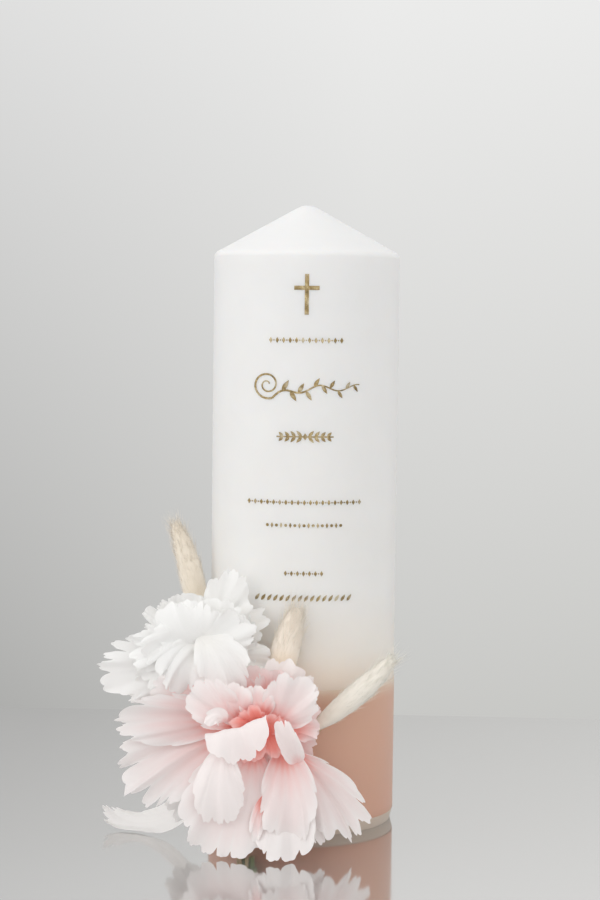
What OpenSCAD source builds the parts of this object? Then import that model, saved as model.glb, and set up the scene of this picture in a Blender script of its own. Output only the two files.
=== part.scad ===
// Cone-topped pillar candle with a blush band, gold foil ornaments and a pinned silk flower spray.
// Millimetres, +Z up, origin at the centre of the candle's foot, ornaments facing -Y.

/* [Candle] */
// Diameter of the wax pillar
candle_d = 70; // [60:1:80]
// Height from the foot to the shoulder where the cone starts
shoulder_h = 214; // [200:1:240]
// Height of the sharp cone, before its tip is rounded
cone_h = 19.4; // [15:0.1:24]
// Radius of the rounded tip
tip_r = 7.5; // [4:0.1:10]
// Radius that softens the shoulder
shoulder_r = 2.4; // [1:0.1:4]
// Height of the bevel round the foot
bevel_h = 3.4; // [2:0.1:5]
// How far the bevel cuts in
bevel_w = 0.9; // [0.4:0.1:2]

/* [Wick] */
// Diameter of the cotton wick
wick_d = 2.6; // [2:0.1:4]
// Diameter of the steel disc at the base
sustainer_d = 22; // [16:1:30]
// Depth of the recess in the base that holds the disc
recess_h = 5; // [4:0.5:8]

/* [Band] */
// Height of the band's lower edge
band_low = 4.2; // [3.6:0.1:6]
// Height of the band's upper edge
band_high = 54; // [40:1:60]
// Thickness of the band's coat
band_t = 0.2; // [0.1:0.05:0.4]

/* [Foil] */
// Thickness of the gold foil
foil_t = 0.1; // [0.05:0.05:0.2]
// Height of the cross's centre
cross_z = 198.6; // [190:0.1:203]
// Height of the cross from end to end
cross_h = 14.7; // [10:0.1:15]
// Width of the cross's arms from end to end
cross_w = 9.2; // [6:0.1:12]
// Width of the cross's bars
cross_bar = 1.5; // [1:0.1:2]

/* [Spray] */
// Azimuth on the candle where the spray is pinned, 270 being straight in front
spray_azimuth = 240; // [230:1:250]
// Thickness of one petal layer
petal_t = 1.1; // [0.8:0.1:1.2]
// Diameter of the flower stems
stem_d = 2.2; // [1.6:0.1:2.2]
// Diameter of the bunny tails' straws
straw_d = 1.2; // [1:0.1:1.2]
// Diameter of a corsage pin
pin_d = 1.2; // [0.8:0.1:1.2]
// Length of a corsage pin's shank
pin_length = 27; // [24:1:30]

/* [Hidden] */

wax_colour = [0.94, 0.94, 0.93];
blush_colour = [0.75, 0.6, 0.54];
gold_colour = [0.62, 0.52, 0.32];
pink_colour = [0.95, 0.75, 0.76];
coral_colour = [0.93, 0.6, 0.6];
petal_white = [0.97, 0.95, 0.95];
straw_colour = [0.92, 0.86, 0.76];
calyx_colour = [0.62, 0.7, 0.5];
steel_colour = [0.7, 0.7, 0.72];

candle_r = candle_d / 2;
cone_angle = atan(cone_h / candle_r);
tip_z = shoulder_h + cone_h - tip_r * (1 / cos(cone_angle) - 1);
wick_r = wick_d / 2;
disc_t = 0.8;
collar_t = 0.6;
band_r = candle_r + band_t;

// Facets round the candle, round thin rods and round the foil's dots.
curve_fn = 96;
rod_fn = 32;
dot_fn = 24;
// How far a cutting shape runs past the face it cuts.
overshoot = 1;

// ---------- vectors ----------

function unit(v) = v / norm(v);
function lerp(a, b, s) = a + (b - a) * s;

// A point on a Catmull-Rom curve through the points p, s counted in spans from 0.
function span_point(a, b, c, d, s) =
    0.5 * (2 * b + (c - a) * s + (2 * a - 5 * b + 4 * c - d) * s * s + (3 * b - a - 3 * c + d) * s * s * s);
function route_point(p, s) =
    let (last = len(p) - 1, i = min(floor(s), last - 1), f = s - i)
    span_point(p[max(i - 1, 0)], p[i], p[i + 1], p[min(i + 2, last)], f);

// ---------- the spray's places ----------

out_dir = [cos(spray_azimuth), sin(spray_azimuth), 0];
side_dir = [-out_dir.y, out_dir.x, 0];
up = [0, 0, 1];

tape_outer_r = 4.2;
tape_inner_r = 3.6;
tape_low = 12;
tape_high = 36;
tape_gap = 0.4;
tape_reach = band_r + tape_gap + tape_outer_r;
tape_centre = tape_reach * out_dir;
stem_end_z = 8;
stem_r = stem_d / 2;
straw_r = straw_d / 2;

// Where a stem stands in the bundle: sideways, then outwards from the bundle's middle.
function bundle_place(side, out, z) = tape_centre + side * side_dir + out * out_dir + z * up;

pin_heights = [17, 28];
pin_r = pin_d / 2;
pin_clearance = 0.05;
pin_tip_gap = 0.5;
pin_head_r = 2;
pin_head_reach = tape_reach + tape_outer_r + pin_head_r;

// Each bloom: where its calyx starts, and the way it faces. Layers are threaded on the stem through a hole.
pink_base = [-12.5, -44.5, 46];
pink_facing = unit([-0.1, -0.985, -0.06]);
white_base = [-30.2, -27.6, 68];
white_facing = unit([-0.45, -0.85, 0.25]);
calyx_r = 5;
calyx_h = 4.4;
layer_hole_r = 1.7;

// ---------- shared shapes ----------

// A closed tube along a route of hand-picked points, with a radius for each ring.
module swept_tube(route, radius_at, steps, sides = 10) {
    span = len(route) - 1;
    centres = [for (i = [0 : steps]) route_point(route, span * i / steps)];
    ways = [for (i = [0 : steps]) unit(centres[min(i + 1, steps)] - centres[max(i - 1, 0)])];
    ring_points = [
        for (i = [0 : steps])
        let (w = ways[i], a = unit(cross(w, [0.31, 0.17, 0.93])), b = cross(w, a), r = radius_at(i / steps))
        for (k = [0 : sides - 1]) centres[i] + r * (cos(360 * k / sides) * a + sin(360 * k / sides) * b)
    ];
    walls = [
        for (i = [0 : steps - 1], k = [0 : sides - 1])
        [i * sides + k, (i + 1) * sides + k, (i + 1) * sides + (k + 1) % sides, i * sides + (k + 1) % sides]
    ];
    start_cap = [for (k = [0 : sides - 1]) k];
    end_cap = [for (k = [sides - 1 : -1 : 0]) steps * sides + k];
    polyhedron(ring_points, concat(walls, [start_cap], [end_cap]));
}

// Turns local +Z to face a given way.
module face_towards(place, way) {
    tilt = acos(way.z);
    turn = atan2(way.y, way.x);
    translate(place) rotate([0, 0, turn]) rotate([0, tilt, 0]) children();
}

// A bloom's own right and top, seen from in front.
function bloom_right(way) = unit(cross(up, way));
function bloom_top(way) = cross(way, bloom_right(way));

// One die-cut petal layer: a lobed dish threaded on the stem, cupped forward towards its rim.
// Its hub reaches back to what it is stacked on. rim gives its reach at each angle, counted from the
// bloom's right round to its top.
module petal_layer(base, way, start, hub, cup, lobes, lobe_depth, turn, rim, around = 54, rings = 6) {
    right = bloom_right(way);
    top = bloom_top(way);
    function rim_at(a) = rim(a) * (1 + lobe_depth * cos(lobes * (a - turn)));
    function place(a, s, lift) =
        let (r = lerp(layer_hole_r, rim_at(a), s))
        base + (start + lift + cup * (r * r - layer_hole_r * layer_hole_r)) * way
        + r * (cos(a) * right + sin(a) * top);
    count = rings + 1;
    front = [for (i = [0 : around - 1], j = [0 : rings]) place(360 * i / around, j / rings, petal_t)];
    back = [
        for (i = [0 : around - 1], j = [0 : rings])
        place(360 * i / around, j / rings, j == 0 ? -hub : 0)
    ];
    shift = around * count;
    function at(i, j) = (i % around) * count + j;
    front_faces = [
        for (i = [0 : around - 1], j = [0 : rings - 1])
        [at(i, j), at(i + 1, j), at(i + 1, j + 1), at(i, j + 1)]
    ];
    back_faces = [
        for (i = [0 : around - 1], j = [0 : rings - 1])
        [at(i, j + 1) + shift, at(i + 1, j + 1) + shift, at(i + 1, j) + shift, at(i, j) + shift]
    ];
    rim_faces = [
        for (i = [0 : around - 1])
        [at(i, rings), at(i + 1, rings), at(i + 1, rings) + shift, at(i, rings) + shift]
    ];
    hole_faces = [
        for (i = [0 : around - 1]) [at(i + 1, 0), at(i, 0), at(i, 0) + shift, at(i + 1, 0) + shift]
    ];
    polyhedron(concat(front, back), concat(front_faces, back_faces, rim_faces, hole_faces));
}

// ---------- candle ----------

module wax_pillar() {
    recess_clearance = 1;
    tip_steps = 8;
    shoulder_steps = 6;
    foot_r = candle_r - bevel_w;
    tip_centre_z = tip_z - tip_r;
    tip_arc = [
        for (i = [0 : tip_steps])
        let (a = lerp(90, 90 - cone_angle, i / tip_steps))
        [tip_r * cos(a), tip_centre_z + tip_r * sin(a)]
    ];
    shoulder_cx = candle_r - shoulder_r;
    shoulder_cz = shoulder_h - shoulder_r * tan((90 - cone_angle) / 2);
    shoulder_arc = [
        for (i = [0 : shoulder_steps])
        let (a = lerp(90 - cone_angle, 0, i / shoulder_steps))
        [shoulder_cx + shoulder_r * cos(a), shoulder_cz + shoulder_r * sin(a)]
    ];
    foot = [[candle_r, bevel_h], [foot_r, 0], [0, 0]];
    color(wax_colour) difference() {
        rotate_extrude($fn = curve_fn) polygon(concat(tip_arc, shoulder_arc, foot));
        translate([0, 0, -overshoot]) cylinder(r = wick_r, h = tip_z + 2 * overshoot, $fn = curve_fn);
        translate([0, 0, -overshoot])
            cylinder(r = sustainer_d / 2 + recess_clearance, h = recess_h + overshoot, $fn = curve_fn);
        pin_holes();
    }
}

// The holes that the two pins make in the wax and in the band.
module pin_holes() {
    for (z = pin_heights) {
        face_towards([0, 0, z], out_dir)
            translate([0, 0, pin_head_reach - pin_length - pin_tip_gap])
            cylinder(r = pin_r + pin_clearance, h = pin_length, $fn = rod_fn);
    }
}

// The wick runs from the steel disc up to just short of the wax's tip.
module wick() {
    below_tip = 0.4;
    low = recess_h - disc_t;
    color("ivory") translate([0, 0, low]) cylinder(r = wick_r, h = tip_z - below_tip - low, $fn = curve_fn);
}

module wick_sustainer() {
    collar_h = 3.2;
    color(steel_colour) translate([0, 0, recess_h - disc_t]) difference() {
        union() {
            cylinder(d = sustainer_d, h = disc_t, $fn = curve_fn);
            translate([0, 0, -collar_h]) cylinder(r = wick_r + collar_t, h = collar_h, $fn = curve_fn);
        }
        translate([0, 0, -collar_h - overshoot])
            cylinder(r = wick_r, h = collar_h + disc_t + 2 * overshoot, $fn = curve_fn);
    }
}

module blush_band() {
    color(blush_colour) difference() {
        translate([0, 0, band_low]) cylinder(r = band_r, h = band_high - band_low, $fn = curve_fn);
        translate([0, 0, band_low - overshoot])
            cylinder(r = candle_r, h = band_high - band_low + 2 * overshoot, $fn = curve_fn);
        pin_holes();
    }
}

// ---------- foil ornaments ----------

// Lays a flat outline, drawn in X and Z, on the front of the candle as thin foil. The outline stands at
// height z and reaches no further than half above and below it.
module foil(z, half) {
    color(gold_colour) intersection() {
        rotate([90, 0, 0]) linear_extrude(height = candle_r + foil_t + overshoot) children();
        difference() {
            translate([0, 0, z - half]) cylinder(r = candle_r + foil_t, h = 2 * half, $fn = curve_fn);
            translate([0, 0, z - half - overshoot])
                cylinder(r = candle_r, h = 2 * (half + overshoot), $fn = curve_fn);
        }
    }
}

// A pointed oval leaf along +X, starting at the origin.
function leaf_outline(length, width, steps = 7) = concat(
    [for (i = [0 : steps]) [length * i / steps, width / 2 * sin(180 * pow(i / steps, 0.8))]],
    [for (i = [steps - 1 : -1 : 1]) [length * i / steps, -width / 2 * sin(180 * pow(i / steps, 0.8))]]
);

module leaf(place, angle, length, width) {
    translate(place) rotate(angle) polygon(leaf_outline(length, width));
}

module lozenge(x, z, w, h) {
    translate([x, z]) polygon([[-w / 2, 0], [0, -h / 2], [w / 2, 0], [0, h / 2]]);
}

module dot(x, z, d) {
    translate([x, z]) circle(d = d, $fn = dot_fn);
}

module cross_foil() {
    arm_z = cross_z + 0.16 * cross_h;
    foil(cross_z, cross_h) union() {
        translate([-cross_bar / 2, cross_z - cross_h / 2]) square([cross_bar, cross_h]);
        translate([-cross_w / 2, arm_z - cross_bar / 2]) square([cross_w, cross_bar]);
    }
}

// The places along X of a centred row, the first and the last of them row_width apart.
function row_places(row_width, count) = [for (i = [0 : count - 1]) row_width * (i / (count - 1) - 0.5)];

// A row of lozenges with a dot between each two.
module lozenge_row(z, row_width, count, w, h, dot_d) {
    places = row_places(row_width, count);
    for (x = places) {
        lozenge(x, z, w, h);
    }
    for (i = [1 : count - 1]) {
        dot((places[i - 1] + places[i]) / 2, z, dot_d);
    }
}

module beads_foil() {
    z = 182;
    foil(z, half = 3) lozenge_row(z, row_width = 25.8, count = 12, w = 1.3, h = 2.2, dot_d = 0.55);
}

// The vine: a spiral tendril at the left that runs on into a waving stem with leaves on both sides.
// The stem starts low at the left, climbs to the vine's own height and waves about it.
vine_z = 165;
vine_start = [-12.2, -4.1];
vine_climb = 7;
vine_wave = 1.1;
vine_wave_rate = 26;
function vine_height(x) =
    let (u = x - vine_start.x) vine_start.y * exp(-u / vine_climb) + vine_wave * sin(vine_wave_rate * u);
function vine_point(x) = [x, vine_z + vine_height(x)];

// A strip along a line, with a width for each place along it.
function ribbon(line, width_at) =
    let (
        last = len(line) - 1,
        ways = [for (i = [0 : last]) unit(line[min(i + 1, last)] - line[max(i - 1, 0)])],
        sides = [for (i = [0 : last]) width_at(i / last) / 2 * [-ways[i].y, ways[i].x]]
    )
    concat([for (i = [0 : last]) line[i] + sides[i]], [for (i = [last : -1 : 0]) line[i] - sides[i]]);

module vine_foil() {
    stem_steps = 40;
    stem_end = 19.6;
    spiral_steps = 44;
    spiral_r = 5.2;
    spiral_end_r = 0.14 * spiral_r;
    spiral_turn = 630;
    spiral_start = -70;
    middle = [vine_start.x, vine_z + vine_start.y] - spiral_r * [cos(spiral_start), sin(spiral_start)];
    spiral = [
        for (i = [0 : spiral_steps])
        let (s = i / spiral_steps, r = lerp(spiral_r, spiral_end_r, s), a = spiral_start - spiral_turn * s)
        middle + r * [cos(a), sin(a)]
    ];
    leaf_count = 10;
    leaf_start = -8.6;
    leaf_pitch = 2.9;
    leaf_angle = 58;
    leaf_length = 4.6;
    leaf_width = 1.7;
    stem = [for (i = [0 : stem_steps]) vine_point(lerp(vine_start.x, stem_end, i / stem_steps))];
    foil(vine_z, half = 9) union() {
        polygon(ribbon(stem, function(s) lerp(0.8, 0.35, s)));
        polygon(ribbon(spiral, function(s) lerp(0.8, 0.45, s)));
        for (i = [0 : leaf_count - 1]) {
            side = i % 2 == 0 ? 1 : -1;
            size = lerp(1, 0.62, i / (leaf_count - 1));
            leaf(vine_point(leaf_start + leaf_pitch * i), side * leaf_angle, leaf_length * size, leaf_width * size);
        }
    }
}

// A level twig with pairs of leaves that point outwards from the lozenge in its middle.
module sprig_foil() {
    z = 147;
    reach = 10.4;
    twig_w = 0.5;
    leaf_start = 1.2;
    leaf_pitch = 2.3;
    leaf_angle = 48;
    leaf_width = 1.15;
    foil(z, half = 4) union() {
        translate([-reach, z - twig_w / 2]) square([2 * reach, twig_w]);
        for (side = [-1, 1], i = [0 : 3]) {
            place = [side * (leaf_start + leaf_pitch * i), z];
            angle = side > 0 ? leaf_angle : 180 - leaf_angle;
            length = 3 - 0.25 * i;
            leaf(place, angle, length, leaf_width);
            leaf(place, -angle, length, leaf_width);
        }
        lozenge(0, z, w = 1.8, h = 2.6);
    }
}

module garland_foil() {
    z = 123;
    foil(z, half = 3) lozenge_row(z, row_width = 40.4, count = 19, w = 1.25, h = 2, dot_d = 0.55);
}

module dots_foil() {
    z = 114.6;
    places = row_places(row_width = 26.8, count = 17);
    foil(z, half = 3) for (i = [0 : len(places) - 1]) {
        if (i % 2 == 0) {
            dot(places[i], z, d = 1.1);
        } else {
            lozenge(places[i], z, w = 1, h = 2);
        }
    }
}

module trio_foil() {
    z = 97;
    foil(z, half = 3) lozenge_row(z, row_width = 13.2, count = 7, w = 1.2, h = 2, dot_d = 0.5);
}

// A row of slanting leaves, each starting a little left of its place and below the row's height.
module chain_foil() {
    z = 88;
    leaf_shift = [-0.8, -1.2];
    foil(z, half = 4) for (x = row_places(row_width = 33.6, count = 16)) {
        leaf([x, z] + leaf_shift, angle = 56, length = 2.9, width = 1.1);
    }
}

// ---------- pink bloom ----------

// How far each bloom's petals reach: further to the left than to the right, and the pink one's also
// further down than up.
function pink_rim(a) = 41 - 9 * cos(a) - 5.5 * sin(a) + 4.5 * cos(2 * a);
function white_rim(a) = 32 - 11 * cos(a);

// How far in front of its bloom's base each layer starts, from the back layer to the heart.
pink_starts = [calyx_h, 7.8, 11, 14.2, 15.7];
white_starts = [calyx_h, 7.6, 10.8, 12.2];
// How far layer i's hub reaches back to the layer behind it.
function hub_of(starts, i) = starts[i] - starts[i - 1] - petal_t;
// How far the stem runs on into the heart.
stem_in_heart = 2;

module pink_back_petals() {
    color(petal_white) petal_layer(pink_base, pink_facing, pink_starts[0], hub = 0, cup = 0.003,
        lobes = 6, lobe_depth = 0.05, turn = 20, rim = function(a) 0.98 * pink_rim(a));
}

module pink_outer_petals() {
    color(pink_colour) petal_layer(pink_base, pink_facing, pink_starts[1], hub = hub_of(pink_starts, 1),
        cup = 0.0055, lobes = 6, lobe_depth = 0.05, turn = 50, rim = function(a) 0.88 * pink_rim(a));
}

module pink_middle_petals() {
    color(pink_colour) petal_layer(pink_base, pink_facing, pink_starts[2], hub = hub_of(pink_starts, 2),
        cup = 0.01, lobes = 5, lobe_depth = 0.06, turn = 80, rim = function(a) 0.7 * pink_rim(a));
}

module pink_inner_petals() {
    color(coral_colour) petal_layer(pink_base, pink_facing, pink_starts[3], hub = hub_of(pink_starts, 3),
        cup = 0.025, lobes = 5, lobe_depth = 0.06, turn = 30, rim = function(a) 22);
}

// A tight bud of rolled petals: a closed solid of revolution with a narrow foot and a rounded crown that
// bulges halfway up.
module bud(base, way, start, r, h) {
    steps = 10;
    foot_r = 0.55 * r;
    waist_h = 0.3 * h;
    crown = [
        for (i = [0 : steps])
        let (a = 90 * i / steps, bulge = 0.86 + 0.14 * sin(2 * a))
        [r * bulge * cos(a), lerp(waist_h, h, sin(a))]
    ];
    face_towards(base + start * way, way)
        rotate_extrude($fn = curve_fn) polygon(concat([[0, 0], [foot_r, 0]], crown));
}

module pink_heart() {
    color(coral_colour) bud(pink_base, pink_facing, pink_starts[4], r = 7, h = 13);
}

// A cup that flares from a neck round the stem out to the back of the petals.
module calyx(base, way) {
    neck_r = stem_r + 0.8;
    shoulder = [0.8 * calyx_r, 0.5 * calyx_h];
    face_towards(base, way) difference() {
        rotate_extrude($fn = curve_fn) polygon([[0, 0], [neck_r, 0], shoulder, [calyx_r, calyx_h], [0, calyx_h]]);
        translate([0, 0, -overshoot]) cylinder(r = stem_r, h = calyx_h + 2 * overshoot, $fn = rod_fn);
    }
}

module pink_calyx() {
    color(calyx_colour) calyx(pink_base, pink_facing);
}

module pink_stem() {
    foot = bundle_place(1.9, -1, stem_end_z);
    waist = bundle_place(1.9, -1, tape_high);
    above_waist = waist + [0.6, -0.8, 4.6];
    behind_bloom = pink_base - 3.5 * pink_facing + [0, 0, -0.6];
    head = pink_base + (pink_starts[4] + stem_in_heart) * pink_facing;
    route = [foot, waist, above_waist, behind_bloom, pink_base, head];
    color(calyx_colour) swept_tube(route, function(s) stem_r, steps = 40);
}

// ---------- white bloom ----------

module white_outer_petals() {
    color(petal_white) petal_layer(white_base, white_facing, white_starts[0], hub = 0, cup = 0.005,
        lobes = 6, lobe_depth = 0.06, turn = 0, rim = function(a) white_rim(a));
}

module white_middle_petals() {
    color(petal_white) petal_layer(white_base, white_facing, white_starts[1], hub = hub_of(white_starts, 1),
        cup = 0.009, lobes = 6, lobe_depth = 0.06, turn = 30, rim = function(a) 0.84 * white_rim(a));
}

module white_inner_petals() {
    color(petal_white) petal_layer(white_base, white_facing, white_starts[2], hub = hub_of(white_starts, 2),
        cup = 0.016, lobes = 5, lobe_depth = 0.06, turn = 60, rim = function(a) 0.54 * white_rim(a));
}

module white_heart() {
    color(petal_white) bud(white_base, white_facing, white_starts[3], r = 6, h = 12);
}

module white_calyx() {
    color(calyx_colour) calyx(white_base, white_facing);
}

module white_stem() {
    foot = bundle_place(-1.9, -1, stem_end_z);
    waist = bundle_place(-1.9, -1, tape_high);
    behind_bloom = white_base - 0.6 * white_facing;
    head = white_base + (white_starts[3] + stem_in_heart) * white_facing;
    route = [foot, waist, [-22.4, -32.4, 46], [-27.4, -28.9, 58], [-29.3, -26.7, 64.8], behind_bloom, head];
    color(calyx_colour) swept_tube(route, function(s) stem_r, steps = 40);
}

// ---------- bunny tails ----------

// A tail's head is fat above its foot and tapers to its tip. Its ends are blunt.
function head_profile(r, s) =
    let (end_share = 0.18, swell = pow(sin(180 * pow(s, 0.66)), 0.55), taper = 1 - 0.18 * s)
    r * lerp(end_share, 1, swell) * taper;

module tail_head(route, r) {
    color(straw_colour) swept_tube(route, function(s) head_profile(r, s), steps = 14, sides = 16);
}

module straw(route) {
    color(straw_colour) swept_tube(route, function(s) straw_r, steps = 36, sides = 8);
}

left_tail_route = [[-37.6, -12.5, 76], [-39.6, -11, 87], [-43.5, -9.5, 101], [-49.6, -8, 116]];
middle_tail_route = [[-8, -42.4, 58], [-6.6, -42.4, 68], [-4.4, -42.4, 79], [-1, -42.4, 91]];
right_tail_route = [[6, -44, 41], [16, -44, 47.5], [27, -44, 58], [38, -44, 71]];

module left_tail_head() {
    tail_head(left_tail_route, r = 4.6);
}

module middle_tail_head() {
    tail_head(middle_tail_route, r = 5.4);
}

module right_tail_head() {
    tail_head(right_tail_route, r = 4.3);
}

// Each straw ends a little inside its head.
function inside(route) = route[0] + unit(route[1] - route[0]);

module left_tail_straw() {
    straw([bundle_place(-2.8, 0.7, stem_end_z), bundle_place(-2.8, 0.7, tape_high), [-24.4, -33.4, 43],
        [-28.6, -31.4, 52], [-34.6, -21.8, 65], inside(left_tail_route)]);
}

module middle_tail_straw() {
    straw([bundle_place(-1.3, 1.7, stem_end_z), bundle_place(-1.3, 1.7, tape_high), [-19.6, -37.8, 44],
        [-14, -41, 53], inside(middle_tail_route)]);
}

module right_tail_straw() {
    straw([bundle_place(1.4, 1.7, stem_end_z), bundle_place(1.4, 1.7, tape_high - 3), [-17.6, -38, 37.4],
        [-12, -41.2, 38.6], [-4, -43.6, 38.2], inside(right_tail_route)]);
}

// ---------- binding and pins ----------

module stem_tape() {
    color(calyx_colour) difference() {
        translate(tape_centre + tape_low * up)
            cylinder(r = tape_outer_r, h = tape_high - tape_low, $fn = curve_fn);
        translate(tape_centre) cylinder(r = tape_inner_r, h = tape_high + overshoot, $fn = curve_fn);
        pin_holes_in_tape();
    }
}

// The pins hold the tape tightly, so these holes have no clearance.
module pin_holes_in_tape() {
    for (z = pin_heights) {
        face_towards([0, 0, z], out_dir) cylinder(r = pin_r, h = pin_head_reach, $fn = rod_fn);
    }
}

module pin_shanks() {
    color(steel_colour) for (z = pin_heights) {
        face_towards([0, 0, z], out_dir)
            translate([0, 0, pin_head_reach - pin_length]) cylinder(r = pin_r, h = pin_length, $fn = rod_fn);
    }
}

module pin_heads() {
    color("white") for (z = pin_heights) {
        face_towards([0, 0, z], out_dir) difference() {
            translate([0, 0, pin_head_reach]) sphere(r = pin_head_r, $fn = 48);
            cylinder(r = pin_r, h = pin_head_reach, $fn = rod_fn);
        }
    }
}

wax_pillar();
wick();
wick_sustainer();
blush_band();
cross_foil();
beads_foil();
vine_foil();
sprig_foil();
garland_foil();
dots_foil();
trio_foil();
chain_foil();
pink_back_petals();
pink_outer_petals();
pink_middle_petals();
pink_inner_petals();
pink_heart();
pink_calyx();
pink_stem();
white_outer_petals();
white_middle_petals();
white_inner_petals();
white_heart();
white_calyx();
white_stem();
left_tail_head();
middle_tail_head();
right_tail_head();
left_tail_straw();
middle_tail_straw();
right_tail_straw();
stem_tape();
pin_shanks();
pin_heads();
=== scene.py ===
"""Looks for the cone-topped pillar candle with its blush band, gold foil ornaments and silk flower spray.

The petals, the bunny tails and everything they are placed by are in millimetres. The studio, the camera and
the numbers inside materials are in metres. +Z is up, the origin is at the centre of the candle's foot, and
the ornaments face -Y.
"""

import math

import bpy
import numpy as np
from mathutils import Matrix, Vector


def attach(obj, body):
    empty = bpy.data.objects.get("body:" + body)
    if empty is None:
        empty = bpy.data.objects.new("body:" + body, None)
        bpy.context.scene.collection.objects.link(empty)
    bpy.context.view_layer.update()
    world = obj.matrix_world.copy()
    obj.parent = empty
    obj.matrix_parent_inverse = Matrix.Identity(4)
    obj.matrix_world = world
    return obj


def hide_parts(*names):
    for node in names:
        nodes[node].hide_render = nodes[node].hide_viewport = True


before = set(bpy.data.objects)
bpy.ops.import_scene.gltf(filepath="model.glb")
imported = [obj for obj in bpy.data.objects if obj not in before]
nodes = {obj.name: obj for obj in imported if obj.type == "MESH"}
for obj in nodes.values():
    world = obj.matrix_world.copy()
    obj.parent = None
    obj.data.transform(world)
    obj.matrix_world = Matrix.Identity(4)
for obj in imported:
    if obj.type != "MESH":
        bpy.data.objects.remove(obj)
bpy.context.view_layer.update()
scene = bpy.context.scene

MM = 0.001           # one millimetre in metres
CANDLE_R = 35.0      # radius of the wax pillar
FLOOR_GAP = 0.4      # petals and hairs stay this far above the table
FLOOR_EASE = 2.2     # and begin to level out at this height
WAX_GAP = 0.9        # they stay this far off the wax
WAX_EASE = 3.0       # and begin to turn aside this much further out


# ---------- materials ----------

def linear(r, g, b):
    """A display colour, 0 to 255, as scene-linear values."""
    def one(c):
        c /= 255
        return c / 12.92 if c <= 0.04045 else ((c + 0.055) / 1.055) ** 2.4
    return (one(r), one(g), one(b))


def grey(value):
    return (value,) * 3


def rgba(colour):
    return (*colour, 1.0)


class Nodes:
    """A short way to write a material's node tree."""

    def __init__(self, name):
        self.material = bpy.data.materials.new(name)
        self.material.use_nodes = True
        self.tree = self.material.node_tree
        self.shader = self.tree.nodes["Principled BSDF"]
        self.output = self.tree.nodes["Material Output"]

    def add(self, kind, **settings):
        node = self.tree.nodes.new(kind)
        for key, value in settings.items():
            setattr(node, key, value)
        return node

    def link(self, a, b):
        self.tree.links.new(a, b)

    def set(self, **values):
        """Plain values on the Principled shader's own sockets."""
        for key, value in values.items():
            self.shader.inputs[key.replace("_", " ")].default_value = value

    def object_point(self):
        return self.add("ShaderNodeTexCoord").outputs["Object"]

    def axis(self, name):
        """One of the object's own coordinates, in metres."""
        node = self.add("ShaderNodeSeparateXYZ")
        self.link(self.object_point(), node.inputs[0])
        return node.outputs[name]

    def noise(self, scale, detail=2.0, rough=0.5):
        """Noise in object space; scale is in features per metre."""
        node = self.add("ShaderNodeTexNoise")
        node.inputs["Scale"].default_value = scale
        node.inputs["Detail"].default_value = detail
        node.inputs["Roughness"].default_value = rough
        self.link(self.object_point(), node.inputs["Vector"])
        return node.outputs["Fac"]

    def ramp(self, factor, stops):
        """Colours from stops of (place, colour), in rising order of place."""
        node = self.add("ShaderNodeValToRGB")
        ends = node.color_ramp.elements
        while len(ends) < len(stops):
            ends.new(0.5)
        for end, (place, colour) in zip(ends, stops):
            end.position = place
            end.color = rgba(colour)
        self.link(factor, node.inputs["Fac"])
        return node.outputs["Color"]

    def span(self, value, low, high, to_low=0.0, to_high=1.0):
        """Maps low..high to to_low..to_high and clamps."""
        node = self.add("ShaderNodeMapRange")
        sockets = ("From Min", "From Max", "To Min", "To Max")
        for socket, number in zip(sockets, (low, high, to_low, to_high)):
            node.inputs[socket].default_value = number
        self.link(value, node.inputs["Value"])
        return node.outputs["Result"]

    def mix(self, factor, a, b, blend="MIX"):
        """A mix of two colours; each argument is a plain value or a socket."""
        node = self.add("ShaderNodeMix", data_type="RGBA", blend_type=blend)
        if isinstance(factor, float):
            node.inputs["Factor"].default_value = factor
        else:
            self.link(factor, node.inputs["Factor"])
        for place, value in ((6, a), (7, b)):      # the node's two colour sockets
            if isinstance(value, tuple):
                node.inputs[place].default_value = rgba(value)
            else:
                self.link(value, node.inputs[place])
        return node.outputs[2]

    def bump(self, height, distance, strength=1.0):
        node = self.add("ShaderNodeBump")
        node.inputs["Strength"].default_value = strength
        node.inputs["Distance"].default_value = distance
        self.link(height, node.inputs["Height"])
        self.link(node.outputs["Normal"], self.shader.inputs["Normal"])

    def colour(self, socket):
        self.link(socket, self.shader.inputs["Base Color"])

    def mix_shaders(self, share, first, second):
        """Sends two shaders to the output; share is how much of the second shows."""
        both = self.add("ShaderNodeMixShader")
        both.inputs["Fac"].default_value = share
        self.link(first.outputs[0], both.inputs[1])
        self.link(second.outputs[0], both.inputs[2])
        self.link(both.outputs[0], self.output.inputs["Surface"])

    def let_light_through(self, share, colour):
        """Makes thin cloth or hair pass this share of the light on to its far side."""
        back_light = self.add("ShaderNodeBsdfTranslucent")
        self.link(colour, back_light.inputs["Color"])
        self.mix_shaders(share, self.shader, back_light)


def wax_material():
    """White wax with a faint mottle and a painted warm glow and shade from above the band down to the foot.
    """
    m = Nodes("wax")
    m.set(Roughness=0.42, IOR=1.44, Subsurface_Weight=0.35, Subsurface_Scale=0.006)
    m.shader.inputs["Subsurface Radius"].default_value = (1.0, 0.85, 0.7)
    # Painted light by height: the warm glow the band throws back, the flowers' shade above the band, and
    # shade at the foot.
    warm = m.ramp(m.span(m.axis("Z"), 0.0, 0.25), [
        (0.0, linear(206, 190, 175)),
        (0.12, linear(214, 198, 184)),
        (0.2, linear(236, 216, 199)),
        (0.232, linear(238, 226, 213)),
        (0.27, linear(238, 233, 226)),
        (0.36, linear(237, 236, 234)),
        (0.9, linear(236, 236, 236)),
        (1.0, linear(238, 238, 238)),
    ])
    mottle = m.span(m.noise(70, detail=3.0), 0.35, 0.65, to_low=0.985, to_high=1.0)
    m.colour(m.mix(1.0, warm, m.ramp(mottle, [(0.0, grey(0.0)), (1.0, grey(1.0))]), "MULTIPLY"))
    m.bump(m.noise(160, detail=4.0), distance=0.00025, strength=0.35)
    return m.material


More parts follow.
